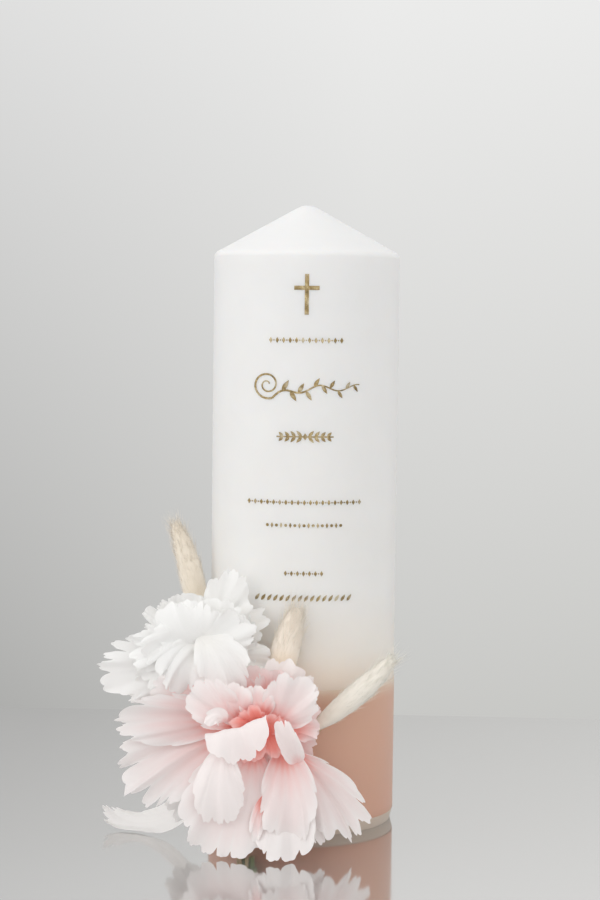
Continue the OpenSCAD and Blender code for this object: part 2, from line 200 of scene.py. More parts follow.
def band_material():
    """A satin coat that thins out along its wavering upper edge, with painted shade at its foot."""
    m = Nodes("blush_coat")
    m.set(Roughness=0.38, IOR=1.45, Subsurface_Weight=0.12, Subsurface_Scale=0.002)
    waver = m.span(m.noise(45, detail=3.0), 0.3, 0.7, to_low=-0.0012, to_high=0.0012)
    height = m.add("ShaderNodeMath", operation="ADD")
    m.link(m.axis("Z"), height.inputs[0])
    m.link(waver, height.inputs[1])
    # The lowest stops are painted shade, darker near the table.
    m.colour(m.ramp(m.span(height.outputs[0], 0.0, 0.056), [
        (0.06, linear(200, 152, 130)),
        (0.14, linear(213, 164, 143)),
        (0.86, linear(216, 169, 147)),
        (0.92, linear(223, 188, 167)),
        (0.965, linear(232, 212, 194)),
    ]))
    m.bump(m.noise(220, detail=3.0), distance=0.0002, strength=0.3)
    return m.material


def foil_material():
    """Crinkled gold foil with painted reflections: dark to pale over its crinkles, pale in patches."""
    m = Nodes("gold_foil")
    m.set(Metallic=1.0, Roughness=0.34)
    # Painted reflections: the gold is painted dark as a dark reflection and runs to pale over the crinkles.
    crinkle = m.noise(900, detail=4.0, rough=0.7)
    # These patches are painted pale reflections.
    painted_reflection_patches = m.span(m.noise(260), 0.52, 0.7, to_high=0.7)
    dark, gold, pale = linear(112, 98, 70), linear(150, 130, 92), linear(206, 190, 150)
    base = m.ramp(crinkle, [(0.3, dark), (0.5, gold), (0.72, pale)])
    m.colour(m.mix(painted_reflection_patches, base, linear(212, 202, 178)))
    m.bump(crinkle, distance=0.0002, strength=0.6)
    return m.material


def dye_colour(m):
    """The colour held on each vertex of a mesh."""
    return m.add("ShaderNodeAttribute", attribute_name="dye").outputs["Color"]


def silk_material(name):
    """Thin dyed petal fabric with a faint cloudiness and a fine weave."""
    m = Nodes(name)
    cloud = m.ramp(m.noise(120, detail=3.0), [(0.3, (0.98, 0.975, 0.975)), (0.7, grey(1.0))])
    colour = m.mix(1.0, dye_colour(m), cloud, "MULTIPLY")
    m.colour(colour)
    m.set(Roughness=0.8, Sheen_Weight=0.18, Sheen_Roughness=0.5, Specular_IOR_Level=0.2)
    m.bump(m.noise(1500, detail=3.0, rough=0.6), distance=0.0001, strength=0.5)
    m.let_light_through(0.24, colour)
    return m.material


def hair_material():
    m = Nodes("dried_grass")
    colour = dye_colour(m)
    m.colour(colour)
    m.set(Roughness=0.75, Sheen_Weight=0.7, Sheen_Roughness=0.6, Specular_IOR_Level=0.2)
    m.let_light_through(0.08, colour)
    return m.material


def plain_material(name, dark, light, scale, roughness, bump=0.0, **more):
    """A two-tone mottled finish; bump is its depth in metres."""
    m = Nodes(name)
    m.set(Roughness=roughness, **more)
    mottle = m.noise(scale, detail=3.0)
    m.colour(m.ramp(mottle, [(0.35, dark), (0.65, light)]))
    if bump:
        m.bump(mottle, distance=bump, strength=0.5)
    return m.material


finish = {
    "wax": wax_material(),
    "blush_coat": band_material(),
    "gold_foil": foil_material(),
    "pink_silk": silk_material("pink_silk"),
    "white_silk": silk_material("white_silk"),
    "dried_grass": hair_material(),
}
# name: dark, light, features per metre, roughness, and more
PLAIN = {
    "wick_cotton": (linear(214, 208, 196), linear(238, 234, 226), 2500, 0.9, dict(bump=0.0002)),
    "sustainer_steel": ((0.5, 0.5, 0.52), (0.66, 0.66, 0.68), 900, 0.35, dict(Metallic=1.0)),
    "stem_plastic": (linear(120, 146, 92), linear(150, 172, 118), 400, 0.5, dict(bump=0.0003)),
    "dried_straw": (linear(196, 176, 132), linear(226, 210, 172), 700, 0.7, dict(bump=0.0003)),
    "florist_tape": (linear(150, 168, 130), linear(176, 190, 156), 500, 0.75, dict(bump=0.0006)),
    "pin_steel": ((0.62, 0.62, 0.64), (0.76, 0.76, 0.78), 1500, 0.2, dict(Metallic=1.0)),
    "pearl": (linear(240, 236, 230), linear(250, 246, 242), 600, 0.18, dict(Coat_Weight=0.6)),
}
for name, (dark, light, scale, roughness, more) in PLAIN.items():
    finish[name] = plain_material(name, dark, light, scale, roughness, **more)

# The finish of each CAD node that stays in view; foils and straws are found by the end of their names.
FINISH_OF = {
    "wax_pillar": "wax", "wick": "wick_cotton", "wick_sustainer": "sustainer_steel",
    "blush_band": "blush_coat", "pink_calyx": "stem_plastic", "pink_stem": "stem_plastic",
    "white_calyx": "stem_plastic", "white_stem": "stem_plastic", "stem_tape": "florist_tape",
    "pin_shanks": "pin_steel", "pin_heads": "pearl",
}
FINISH_OF_ENDING = {"_foil": "gold_foil", "_straw": "dried_straw"}


def dress(obj, name):
    """Gives every slot of an object this finish, held on the object so that a CAD mesh stays as it is."""
    if not obj.material_slots:
        obj.data.materials.append(None)
    for slot in obj.material_slots:
        slot.link = "OBJECT"
        slot.material = finish[name]


for node_name, obj in nodes.items():
    kind = FINISH_OF.get(node_name)
    for ending, name in FINISH_OF_ENDING.items():
        if node_name.endswith(ending):
            kind = name
    if kind:
        dress(obj, kind)


# ---------- meshes built from numbers ----------

def mesh_piece(name, points, faces, dye, slot_name, replaced):
    """One smooth mesh of the spray with a dye on each vertex, in place of a CAD node."""
    mesh = bpy.data.meshes.new(name)
    mesh.from_pydata((np.asarray(points) * MM).tolist(), [], faces)
    mesh.attributes.new("dye", "FLOAT_COLOR", "POINT").data.foreach_set(
        "color", np.column_stack([dye, np.ones(len(dye))]).astype(np.float32).ravel())
    mesh.polygons.foreach_set("use_smooth", [True] * len(mesh.polygons))
    obj = bpy.data.objects.new(name, mesh)
    scene.collection.objects.link(obj)
    obj.data.materials.append(finish[slot_name])
    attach(obj, "spray")
    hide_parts(replaced)


def unit(v):
    v = np.asarray(v, float)
    return v / np.maximum(np.linalg.norm(v, axis=-1, keepdims=True), 1e-9)


def keep_clear(points):
    """Moves points off the table and out of the wax, easing in so that a petal rests against them."""
    p = np.array(points, float)
    z = p[:, 2]
    room = FLOOR_EASE - FLOOR_GAP
    p[:, 2] = np.where(z < FLOOR_EASE, FLOOR_GAP + room * np.exp((z - FLOOR_EASE) / room), z)
    reach = np.hypot(p[:, 0], p[:, 1])
    wall = CANDLE_R + WAX_GAP
    wanted = wall + WAX_EASE * np.exp((reach - wall - WAX_EASE) / WAX_EASE)
    inside = (reach < wall + WAX_EASE) & (reach > 1)
    scale = np.where(inside, wanted / np.maximum(reach, 1), 1.0)
    p[:, :2] *= scale[:, None]
    return p


# ---------- petals ----------

CORAL = np.array(linear(252, 168, 158))
DEEP = np.array(linear(250, 128, 112))
BLUSH = np.array(linear(253, 226, 224))
PALE = np.array(linear(253, 242, 241))
RIM = np.array(linear(254, 250, 249))
MILK = np.array(linear(254, 254, 253))
CREAM = np.array(linear(254, 253, 250))

RAYS, RINGS = 121, 22         # the points of a petal: along its rim, and from its root to its rim
ROOT_SHARE = 0.02             # where the first ring lies, as a share of the way to the rim
LINE_POINTS = 60              # points along a petal's middle line or a bunny tail's spine
ANY_PHASE = 6.3               # a random phase lies between 0 and this, about one turn

# The rim. The lower its sharpness number, the narrower a cut is.
NOTCH_DEPTHS = (0.45, 1.25)   # the notches of one petal vary in depth between these
NOTCH_GAIN, NOTCH_SHARPNESS = 1.4, 0.45
TEETH_PER_LOBE, TOOTH_SHARPNESS = 2.7, 0.6
TOOTH_DEPTH, TOOTH_DEPTH_PER_NOTCH = 0.022, 0.16
DRIFTS = ((0.07, 2.1 * math.pi), (0.04, 5.0))   # the lobes' uneven widths: how far, how often

# Out of the plane, as shares of the petal's own cup, ruffle or width.
FLAT = 1e-5                   # the least bend, so that nothing is divided by zero
CUP_OPENING = 0.35            # how much flatter the cup is at the tip
WAVE_GROWTH = 1.7             # the waves grow with this power of the way to the rim
WAVE_LAG = 1.3                # and slant by this much of a turn, in radians
FINE_WAVES, FINE_WAVE_HEIGHT = 2.3, 0.45     # for each of the petal's waves, and of its ruffle
SWAY_WAVES, SWAY = 1.7, 0.5                  # the same for the sideways sway
PLEATS, PLEAT_HEIGHT, PLEAT_LAG = 13, 0.05 / 30, 2.0
CREASES, CREASE_HEIGHT = 29, 0.012 / 30
DYE_RAYS, DYE_RAY_DEPTH = 7, 0.06
RIM_START = 0.72              # the rim's own dye begins this far out


def blend(a, b, s):
    return a + (b - a) * np.clip(s, 0, 1)[:, None]


def ease_in(v, low, high):
    s = np.clip((v - low) / (high - low), 0, 1)
    return s * s * (3 - 2 * s)


def petal_dye(tone, warm, far, streak, rim):
    """The dye of each point. far is its distance from the root, warm the distance that the petal's warm
    colour reaches, streak a factor near 1 that makes the colours run in rays, and rim is 1 at the rim."""
    if tone == "pink":
        dye = blend(CORAL, BLUSH, ease_in(far * streak, 0.45 * warm, 1.1 * warm))
        dye = blend(dye, PALE, ease_in(far * streak, 0.9 * warm, 1.9 * warm))
        return blend(dye, RIM, rim)
    if tone == "shell":
        return blend(BLUSH, RIM, ease_in(far * streak, 0.3 * warm, 1.1 * warm))
    if tone == "coral":
        return blend(blend(DEEP, CORAL, ease_in(far, 1, warm)), BLUSH, rim * 0.6)
    if tone == "blush":
        return blend(blend(CORAL, BLUSH, ease_in(far, 0.3 * warm, warm)), PALE, rim * 0.8)
    if tone == "cream":
        return blend(CREAM, MILK, rim)
    return blend(CREAM, MILK, ease_in(far, 4, 16))      # milk


def cut_rim(rng, t, shape, lobes, notch):
    """How long each ray of a petal is, up to 1, with the notches between its lobes and the finer teeth."""
    outline = np.cos(t * math.pi / 2).clip(0) ** shape
    drift = t
    for amount, rate in DRIFTS:
        drift = drift + amount * np.sin(rate * t + rng.uniform(0, ANY_PHASE))
    place = lobes * (drift + 1) / 2
    lobe = np.clip(np.floor(place).astype(int) + 1, 0, lobes + 2)
    depth = rng.uniform(*NOTCH_DEPTHS, lobes + 3)[lobe]
    notches = 1 - np.abs(np.sin(place * math.pi)) ** NOTCH_SHARPNESS
    teeth = 1 - np.abs(np.sin(place * math.pi * TEETH_PER_LOBE + 1)) ** TOOTH_SHARPNESS
    tooth_depth = TOOTH_DEPTH_PER_NOTCH * notch + TOOTH_DEPTH
    return outline * (1 - NOTCH_GAIN * notch * depth * notches - tooth_depth * teeth)


def petal(rng, root, mid, tip, width, face=(0, -1, 0.15), side=None, spread=62, shape=0.5, cup=0.25,
          ruffle=1.2, waves=3.0, lobes=7, notch=0.12, claw=0.0, warm=14.0, tone="pink", shade=1.0):
    """The points and dye of one die-cut petal, a fan of rays bent along root, mid and tip.

    face is the side that it shows, or side, if given, is the way across it. spread is the fan's half angle
    in degrees, shape how far its rim rounds off to the sides, and claw how much its foot is narrowed. The
    rim has this many lobes, and notch is the depth between them as a share of the petal. cup is how far
    the petal rolls across, ruffle the height of its waves and waves their number. For warm and tone see
    petal_dye; shade darkens the dye, a painted shade on petals that lie in shade.
    """
    root, mid, tip = (np.array(p, float) for p in (root, mid, tip))
    handle = 2 * mid - (root + tip) / 2
    s = np.linspace(0, 1, LINE_POINTS)[:, None]
    line = (1 - s) ** 2 * root + 2 * s * (1 - s) * handle + s ** 2 * tip
    line_way = 2 * (1 - s) * (handle - root) + 2 * s * (tip - handle)
    steps = np.linalg.norm(np.diff(line, axis=0), axis=1)
    run = np.concatenate([[0], np.cumsum(steps)])
    length = run[-1]

    # The flat shape: x across the petal and share along it.
    t = np.linspace(-1, 1, RAYS)
    angle = np.radians(spread) * t
    outline = cut_rim(rng, t, shape, lobes, notch)
    across = outline * np.sin(angle)
    across *= width / (across.max() - across.min())
    along = outline * np.cos(angle) * length
    v = np.linspace(ROOT_SHARE, 1, RINGS)[:, None]
    share = np.clip(along * v / length, 0, 1)
    x = across * v * share ** claw

    # Out of the plane: the cup, which opens towards the tip, two sets of waves that grow towards the rim,
    # and fine pleats. The last line sways the rim sideways.
    bend = cup / (width / 2) * (1 - CUP_OPENING * share)
    bend = np.where(np.abs(bend) < FLAT, FLAT, bend)
    out = (1 - np.cos(x * bend)) / bend
    x = np.sin(x * bend) / bend
    phase = rng.uniform(0, ANY_PHASE, 4)
    grow = (v * outline) ** WAVE_GROWTH
    row = np.broadcast_to(math.pi * t, x.shape)
    out = out + ruffle * grow * np.sin(waves * row + phase[0] + WAVE_LAG * v)
    out = out + FINE_WAVE_HEIGHT * ruffle * grow ** 2 * np.sin(FINE_WAVES * waves * row + phase[1])
    pleats = PLEAT_HEIGHT * np.sin(PLEATS * row + phase[2] + PLEAT_LAG * v)
    creases = CREASE_HEIGHT * np.sin(CREASES * row)
    out = out + width * v * (pleats + creases)
    x = x + SWAY * ruffle * grow ** 2 * np.sin(SWAY_WAVES * waves * row + phase[3])

    # Every point in space, from the middle line's place and direction beside it.
    at = share * length
    centre = np.stack([np.interp(at, run, line[:, k]) for k in range(3)], -1)
    way = unit(np.stack([np.interp(at, run, line_way[:, k]) for k in range(3)], -1))
    if side is None:
        across_way = unit(np.cross(way, np.array(face, float)))
    else:
        given = np.array(side, float)
        across_way = unit(given - (way @ given)[..., None] * way)
    out_way = np.cross(across_way, way)
    points = (centre + x[..., None] * across_way + out[..., None] * out_way).reshape(-1, 3)

    far = (v * outline * length).ravel()
    streak = 1 + DYE_RAY_DEPTH * np.sin(DYE_RAYS * row + phase[1]).ravel()
    rim = ease_in((v * np.ones_like(x)).ravel(), RIM_START, 1.0)
    # shade is painted shade: it darkens the petals that lie in shade.
    return points, petal_dye(tone, warm, far, streak, rim) * shade


def petal_faces(number):
    """The quads of one petal, for the petal of this number in a mesh of many."""
    first = number * RINGS * RAYS
    corners = [first + i * RAYS + j for i in range(RINGS - 1) for j in range(RAYS - 1)]
    return [(a, a + 1, a + RAYS + 1, a + RAYS) for a in corners]


def bloom_layer(name, heart, seed, slot_name, common, rows):
    """All the petals of one die-cut layer as one piece; common is what its petals share."""
    rng = np.random.default_rng(seed)
    points, faces, dye = [], [], []
    for number, row in enumerate(rows):
        petal_points, petal_colour = petal(rng, **{**common, **row})
        points.append(keep_clear(petal_points + np.array(heart)))
        faces += petal_faces(number)
        dye.append(petal_colour)
    cad_name = name.replace("_heart_bloom", "_heart").replace("_bloom", "_petals")
    mesh_piece(name, np.vstack(points), faces, np.vstack(dye), slot_name, cad_name)


RING_ROOT = 1.8                      # a ring's petals leave the calyx this far from its middle
RING_MID = dict(out=0.55, up=0.25)   # half way along, the shares of their reach and forward lean


def ring(heart, calyx_top, facing, count, reach, forward, width, turn, **more):
    """A plain ring of petals behind the ones listed one by one, fanned out from the top of the bloom's
    calyx.
    """
    centre = np.array(calyx_top) - np.array(heart)
    way = unit(facing)
    right = unit(np.cross((0, 0, 1), way))
    top = np.cross(way, right)
    rows = []
    for k in range(count):
        a = math.radians(turn + 360 * k / count)
        spoke = math.cos(a) * right + math.sin(a) * top
        mid = RING_MID["out"] * reach * spoke + RING_MID["up"] * forward * way
        rows.append(dict(root=centre + RING_ROOT * spoke, mid=centre + mid,
                         tip=centre + reach * spoke + forward * way, width=width, face=way, **more))
    return rows


# The middle of each bloom, the top of its calyx and the way it faces. The petals listed one by one are
# measured from the middle of their bloom: right, back, up.
PINK_HEART = (-13.8, -60.0, 44.2)
PINK_CALYX_TOP = (-12.9, -48.8, 45.7)
PINK_FACING = (-0.1, -0.985, -0.06)
WHITE_HEART = (-36.5, -40.0, 71.5)
WHITE_CALYX_TOP = (-32.2, -31.3, 69.1)
WHITE_FACING = (-0.45, -0.85, 0.25)

# A shade below 1 in these rows is painted shade on petals that lie in shade.
# Upper left, upper right, the one that lies on the table, lower left, lower right, and a ring.
pink_back = [
    dict(root=(-8, 9, 6), mid=(-24, 9, 11), tip=(-41, 6, 12), width=17, notch=0.1, warm=19),
    dict(root=(1, 9, 3), mid=(8, 9, 13), tip=(14.5, 6, 22), width=24, lobes=8, notch=0.13, ruffle=1.4,
         warm=9, tone="shell"),
    dict(root=(-12, 12, -16), mid=(-40, 29, -40.5), tip=(-60, 35, -36), width=13, face=(0, -0.7, 0.7),
         cup=0.2, notch=0.06, tone="milk", ruffle=0.5),
    dict(root=(-9, 9, -10), mid=(-21, 10, -23), tip=(-32, 12, -35.5), width=21, notch=0.08, tone="milk",
         shade=0.93),
    dict(root=(12, 4, -20), mid=(17, -2, -31), tip=(21.5, -5, -40), width=11, lobes=5, tone="shell",
         warm=10, claw=0.4),
] + ring(PINK_HEART, PINK_CALYX_TOP, PINK_FACING, count=8, reach=21, forward=4, width=20, turn=10,
         notch=0.1, warm=16, tone="blush")

# Left, lower left, lower right, and the broad one below.
pink_outer = [
    dict(root=(-7, 8, 3), mid=(-30, 4, 2.5), tip=(-53, 0, 2), width=19, face=(-0.15, -0.95, 0.35),
         lobes=6, notch=0.13, ruffle=1.8, warm=20, spread=48, shape=0.4, shade=0.9),
    dict(root=(-7, 7, 0), mid=(-28, 1, -8), tip=(-50, -2, -22), width=30, face=(-0.25, -0.95, 0.2),
         lobes=9, ruffle=2.4, waves=3.4, warm=19, cup=-0.15, spread=46, shape=0.32, shade=0.93),
    dict(root=(8, 5, -7), mid=(22, 1, -20.5), tip=(32.5, -4, -39), width=27, face=(0.2, -0.95, 0.2),
         lobes=8, notch=0.16, ruffle=2.2, cup=-0.1, spread=60, shape=0.4, claw=0.5, shade=0.95),
    dict(root=(-3, 4, -6), mid=(-11, -7, -26), tip=(-17.5, -9, -44.5), width=35, lobes=10, notch=0.07,
         ruffle=1.7, warm=10, cup=0.1, shape=0.42),
]

# Two below, then upper right, upper left, two at the top and a small one at the right.
pink_middle = [
    dict(root=(5, 2, -16), mid=(8, -9, -33), tip=(7.5, -14, -46.2), width=23, lobes=6, notch=0.1,
         ruffle=1.8, tone="shell", warm=10, spread=70),
    dict(root=(7, 3, -5), mid=(9.5, -9, -23), tip=(8, -10, -40), width=20, notch=0.08, ruffle=2.1,
         waves=2.6, warm=13, cup=-0.2, shade=0.98),
    dict(root=(4, 4, 1), mid=(10, -2, 11), tip=(15.5, -2, 20), width=20, ruffle=1.5, warm=7,
         shade=0.96),
    dict(root=(-8, 3, 1), mid=(-17, -3, 9), tip=(-25, -4, 17), width=17, notch=0.09, warm=9, ruffle=1.3,
         spread=50, shape=0.4),
    dict(root=(-6, 3, 2), mid=(-10, -1, 9), tip=(-12, 1, 17), width=14, lobes=6, notch=0.08, warm=8,
         ruffle=0.8),
    dict(root=(-1, 3, 3), mid=(-2, 0, 9), tip=(-2, 2, 16), width=13, lobes=5, notch=0.08, warm=8,
         ruffle=0.8),
    dict(root=(7, 4, -1), mid=(13, 3, 0), tip=(21, 2, -1), width=9, lobes=4, notch=0.1, tone="blush",
         warm=12),
]

# Hanging at the left, lying across the heart, standing at its right, and curled at its left.
pink_inner = [
    dict(root=(-11, 1, -4), mid=(-14.5, -12, -12), tip=(-14.5, -11, -32), width=23, lobes=9, notch=0.06,
         ruffle=0.9, warm=6, cup=-0.6, tone="shell", claw=0.45, spread=50, shape=0.4),
    dict(root=(-6, 1, -5), mid=(-9, -10, 2.5), tip=(-6.5, -13, -9.5), width=23, side=(0.95, 0, 0.31),
         lobes=6, notch=0.07, ruffle=1.0, warm=6, tone="shell", cup=-0.3),
    dict(root=(13, -1, -12), mid=(9.5, -8, -3), tip=(6, -8, 5.5), width=10, cup=1.5, lobes=4, notch=0.1,
         warm=7, ruffle=0.4, tone="shell"),
    dict(root=(-13, -2, 3), mid=(-16, -7, 6), tip=(-20, -8, 3), width=6.5, lobes=3, tone="shell",
         warm=4, ruffle=0.4),
]

CORAL_TONGUE = dict(tone="coral", ruffle=0.8, lobes=4)
# A strip of painted coral shade and glow between the petals below, and the coral tongues round the heart.
pink_heart = [
    dict(root=(1, -4, -22), mid=(-1, -9.5, -30), tip=(-2, -10.5, -38), width=6, tone="pink", warm=9,
         ruffle=0.5, lobes=3),
    dict(root=(-3, 2, 0), mid=(-7, -3, 2), tip=(-11.5, -4, 1), width=9, warm=10),
    dict(root=(0, 2, 0), mid=(3, -3, 3), tip=(5, -5, 7), width=8, warm=9),
    dict(root=(0, 2, 0), mid=(4, -3, -4), tip=(6, -5, -9), width=9, warm=10),
    dict(root=(-2, 2, 0), mid=(-4, -3, -5), tip=(-6, -5, -11), width=11, warm=10, lobes=5),
    dict(root=(-2, 2, 1), mid=(-4, -2, 5), tip=(-6, -3, 9), width=10, warm=9),
    dict(root=(1, 2, 0), mid=(6, -1, 0), tip=(10, -2, -1), width=9, warm=9),
]

WHITE_PETAL = dict(tone="milk")
# Left, lower left, upper left, top, upper right, two at the right, and a ring.
white_outer = [
    dict(root=(-4, 4, -4), mid=(-19, -1, -8), tip=(-38, -4, -10), width=25, lobes=9, notch=0.17,
         ruffle=1.5, face=(-0.2, -0.95, 0.1)),
    dict(root=(-3, 2, -7), mid=(-13, -3, -13), tip=(-27, -4, -19), width=14, lobes=6, notch=0.14),
    dict(root=(-7, 4, 3), mid=(-14, 3, 7), tip=(-21.5, 2, 12), width=11, lobes=5, notch=0.2),
    dict(root=(-2, 5, 3), mid=(-6, 4, 11), tip=(-7, 2, 18.5), width=21, lobes=8, notch=0.09),
    dict(root=(2, 6, 4), mid=(8, 6, 15), tip=(12.5, 5, 26.5), width=17),
    dict(root=(5, 3, 0), mid=(14, 3, 6), tip=(24, 3, 11), width=15, lobes=6, tone="cream"),
    dict(root=(9, -1, -3), mid=(17, -3, -4), tip=(27, -4, -5), width=11, lobes=5, tone="cream"),
] + ring(WHITE_HEART, WHITE_CALYX_TOP, WHITE_FACING, count=7, reach=20, forward=4, width=21, turn=20,
         notch=0.1)

# Left, lower left, upper left, upper right, right.
white_middle = [
    dict(root=(-3, -1, 2), mid=(-13, -7, 0), tip=(-27, -7, -2), width=17, notch=0.13, ruffle=1.6),
    dict(root=(-1, -2, 1), mid=(-12, -8, -5), tip=(-22, -8, -13), width=18, lobes=8, notch=0.13,
         ruffle=1.8),
    dict(root=(0, -1, 3), mid=(-6, -6, 8), tip=(-10, -5, 16), width=22, lobes=8, notch=0.08),
    dict(root=(2, 1, 2), mid=(6, -3, 9), tip=(9, -2, 17), width=18, notch=0.1),
    dict(root=(3, -1, 1), mid=(10, -5, 5), tip=(18, -3, 7), width=17, lobes=6, notch=0.1),
]

# The ruffled ones in front: top, right, left, below, and one that hangs over the pink bloom.
white_inner = [
    dict(root=(3, -3, -4), mid=(-4, -10, 6), tip=(-8, -6, 17), width=25, lobes=9, notch=0.13, cup=0.1,
         ruffle=1.7),
    dict(root=(-3, -5, 0), mid=(8, -10, 4), tip=(18, -6, 9), width=18, cup=0.2, ruffle=1.5),
    dict(root=(2, -5, 3), mid=(-10, -11, 1), tip=(-19, -11, -7), width=18, lobes=8, cup=0.1,
         ruffle=1.9),
    dict(root=(2, -6, 2), mid=(-5, -13, -5), tip=(-9, -12, -16), width=17, notch=0.1, cup=-0.1,
         ruffle=2.0),
    dict(root=(-1, -7, 5), mid=(7, -14, -3), tip=(12.5, -14, -16), width=19, lobes=8, notch=0.13,
         ruffle=1.9, cup=-0.25, side=(0.95, 0.1, 0.3)),
]

# Two small ones in the middle.
white_heart = [
    dict(root=(0, -3, 1), mid=(3, -8, 3), tip=(6, -9, 4), width=8, ruffle=0.6, lobes=4),
    dict(root=(0, -3, 1), mid=(-2, -8, 2), tip=(-5, -9, 3), width=8, ruffle=0.6, lobes=4),
]

# name, heart, seed of its random numbers, finish, what its petals share, petals
for layer in (
    ("pink_back_bloom", PINK_HEART, 11, "pink_silk", {}, pink_back),
    ("pink_outer_bloom", PINK_HEART, 12, "pink_silk", {}, pink_outer),
    ("pink_middle_bloom", PINK_HEART, 13, "pink_silk", {}, pink_middle),
    ("pink_inner_bloom", PINK_HEART, 14, "pink_silk", {}, pink_inner),
    ("pink_heart_bloom", PINK_HEART, 15, "pink_silk", CORAL_TONGUE, pink_heart),
    ("white_outer_bloom", WHITE_HEART, 21, "white_silk", WHITE_PETAL, white_outer),
    ("white_middle_bloom", WHITE_HEART, 22, "white_silk", WHITE_PETAL, white_middle),
    ("white_inner_bloom", WHITE_HEART, 23, "white_silk", WHITE_PETAL, white_inner),
    ("white_heart_bloom", WHITE_HEART, 24, "white_silk", WHITE_PETAL, white_heart),
):
    bloom_layer(*layer)


# ---------- bunny tails ----------

CORE_SIDES = 18
CORE_STEP = 2         # the core has one ring for every two points of its spine
CORE_LEAST = 0.15     # the core's radius at its foot, and added all the way up
TINT_RATE = 2.2       # the foot's own tint has gone at 1 / 2.2 of the way up
HAIRS = 1500
HAIR_PLACES = (0.02, 0.97)      # hairs grow between these, along the spine
AWN_SHARE = 0.4       # of the hairs, those that are long thin awns and not short down
AWN = dict(lean=(2.0, 4.5), length=(4.0, 6.5), thick=(0.03, 0.05))
DOWN = dict(lean=(3.5, 8.0), length=(2.0, 4.0), thick=(0.06, 0.1))
HAIR_STRAY, HAIR_CURL, HAIR_LIFT = 0.16, 0.12, 0.25      # how far hairs stray, curl and bend to the tip
HAIR_SHADES = (0.97, 1.06)
HAIR_RINGS = ((0.0, 1.0), (0.5, 0.7))      # how far along the hair, and how thick it is there
HAIR_CORNERS = ((1.0, 0.0), (-0.5, 0.87), (-0.5, -0.87))


def curve_points(route, count):
    """Points on a Catmull-Rom curve through the route."""
    p = np.array(route, float)
    p = np.vstack([2 * p[0] - p[1], p, 2 * p[-1] - p[-2]])
    out = []
    for s in np.linspace(0, len(route) - 1 - 1e-9, count):
        i = int(s)
        f = s - i
        a, b, c, d = p[i:i + 4]
        out.append(0.5 * (2 * b + (c - a) * f + (2 * a - 5 * b + 4 * c - d) * f * f
                          + (3 * b - a - 3 * c + d) * f ** 3))
    return np.array(out)


def tail_piece(name, route, radius, tint, foot_tint, seed, peak=0.75):
    """A dried bunny tail: a soft core under a coat of fine hairs that lean towards its tip.

    peak sets where the tail is thickest: half way at 1, and nearer its foot below 1.
    """
    rng = np.random.default_rng(seed)
    tint, foot_tint = np.array(tint), np.array(foot_tint)
    spine = curve_points(route, LINE_POINTS)
    way = unit(np.gradient(spine, axis=0))
    a_way = unit(np.cross(way, np.array([0.3, 1.0, 0.2])))
    b_way = np.cross(way, a_way)

    def outward(i, angle):
        return math.cos(angle) * a_way[i] + math.sin(angle) * b_way[i]

    def core_radius(s):
        return radius * np.clip(np.sin(s ** peak * math.pi), 0, 1) ** 0.5

    def colour(s):
        return foot_tint + (tint - foot_tint) * min(1, s * TINT_RATE)

    points, faces, dye = [], [], []
    for i in range(0, LINE_POINTS, CORE_STEP):
        s = i / (LINE_POINTS - 1)
        for k in range(CORE_SIDES):
            spoke = outward(i, 2 * math.pi * k / CORE_SIDES)
            points.append(spine[i] + (core_radius(s) + CORE_LEAST) * spoke)
            dye.append(colour(s))
    last = LINE_POINTS // CORE_STEP - 1
    for i in range(last):
        low, high = i * CORE_SIDES, (i + 1) * CORE_SIDES
        for k in range(CORE_SIDES):
            n = (k + 1) % CORE_SIDES
            faces.append((low + k, low + n, high + n, high + k))
    faces.append(tuple(range(CORE_SIDES))[::-1])
    faces.append(tuple(last * CORE_SIDES + k for k in range(CORE_SIDES)))

    for _ in range(HAIRS):
        s = rng.uniform(*HAIR_PLACES)
        i = int(s * (LINE_POINTS - 1))
        out = outward(i, rng.uniform(0, 2 * math.pi))
        start = spine[i] + out * (core_radius(s) * 0.95)      # just inside the core
        kind = AWN if rng.random() < AWN_SHARE else DOWN
        lean = rng.uniform(*kind["lean"])
        heading = unit(out + way[i] * lean + rng.normal(0, HAIR_STRAY, 3))
        long = rng.uniform(*kind["length"])
        if kind is AWN:
            long *= 0.5 + 0.7 * s      # awns are longest at the tip
        across = unit(np.cross(heading, rng.normal(0, 1, 3)))
        up = np.cross(heading, across)
        thick = rng.uniform(*kind["thick"])
        bow = rng.normal(0, HAIR_CURL, 3) + way[i] * HAIR_LIFT
        shade = rng.uniform(*HAIR_SHADES)
        base = len(points)
        for q, w in HAIR_RINGS:
            c = start + heading * long * q + bow * long * q * q
            points += [c + thick * w * (x * across + y * up) for x, y in HAIR_CORNERS]
        points.append(start + heading * long + bow * long)
        for k in range(3):
            n = (k + 1) % 3
            faces.append((base + k, base + n, base + 3 + n, base + 3 + k))
            faces.append((base + 3 + k, base + 3 + n, base + 6))
        dye += [np.clip(colour(s) * shade, 0, 1)] * 7
    cad_name = name.replace("_plume", "_head")
    mesh_piece(name, keep_clear(points), faces, np.array(dye), "dried_grass", cad_name)


tail_piece("left_tail_plume", [(-38, -12.5, 76), (-40.6, -11, 87), (-44.3, -9.5, 101), (-48.8, -8, 113)],
           radius=4.4, tint=linear(247, 236, 219), foot_tint=linear(248, 233, 208), seed=31)
tail_piece("middle_tail_plume", [(-8, -42.4, 58), (-6.6, -42.4, 68), (-4.4, -42.4, 77), (-2, -42.4, 86)],
           radius=5.0, tint=linear(255, 243, 228), foot_tint=linear(255, 232, 198), seed=32)
tail_piece("right_tail_plume", [(4, -46, 42), (14, -46, 50), (24, -45, 58.5), (33.5, -44, 68.5)],
           radius=3.9, tint=linear(255, 249, 238), foot_tint=linear(254, 245, 230), seed=33, peak=1.0)


# ---------- table, wall and light ----------

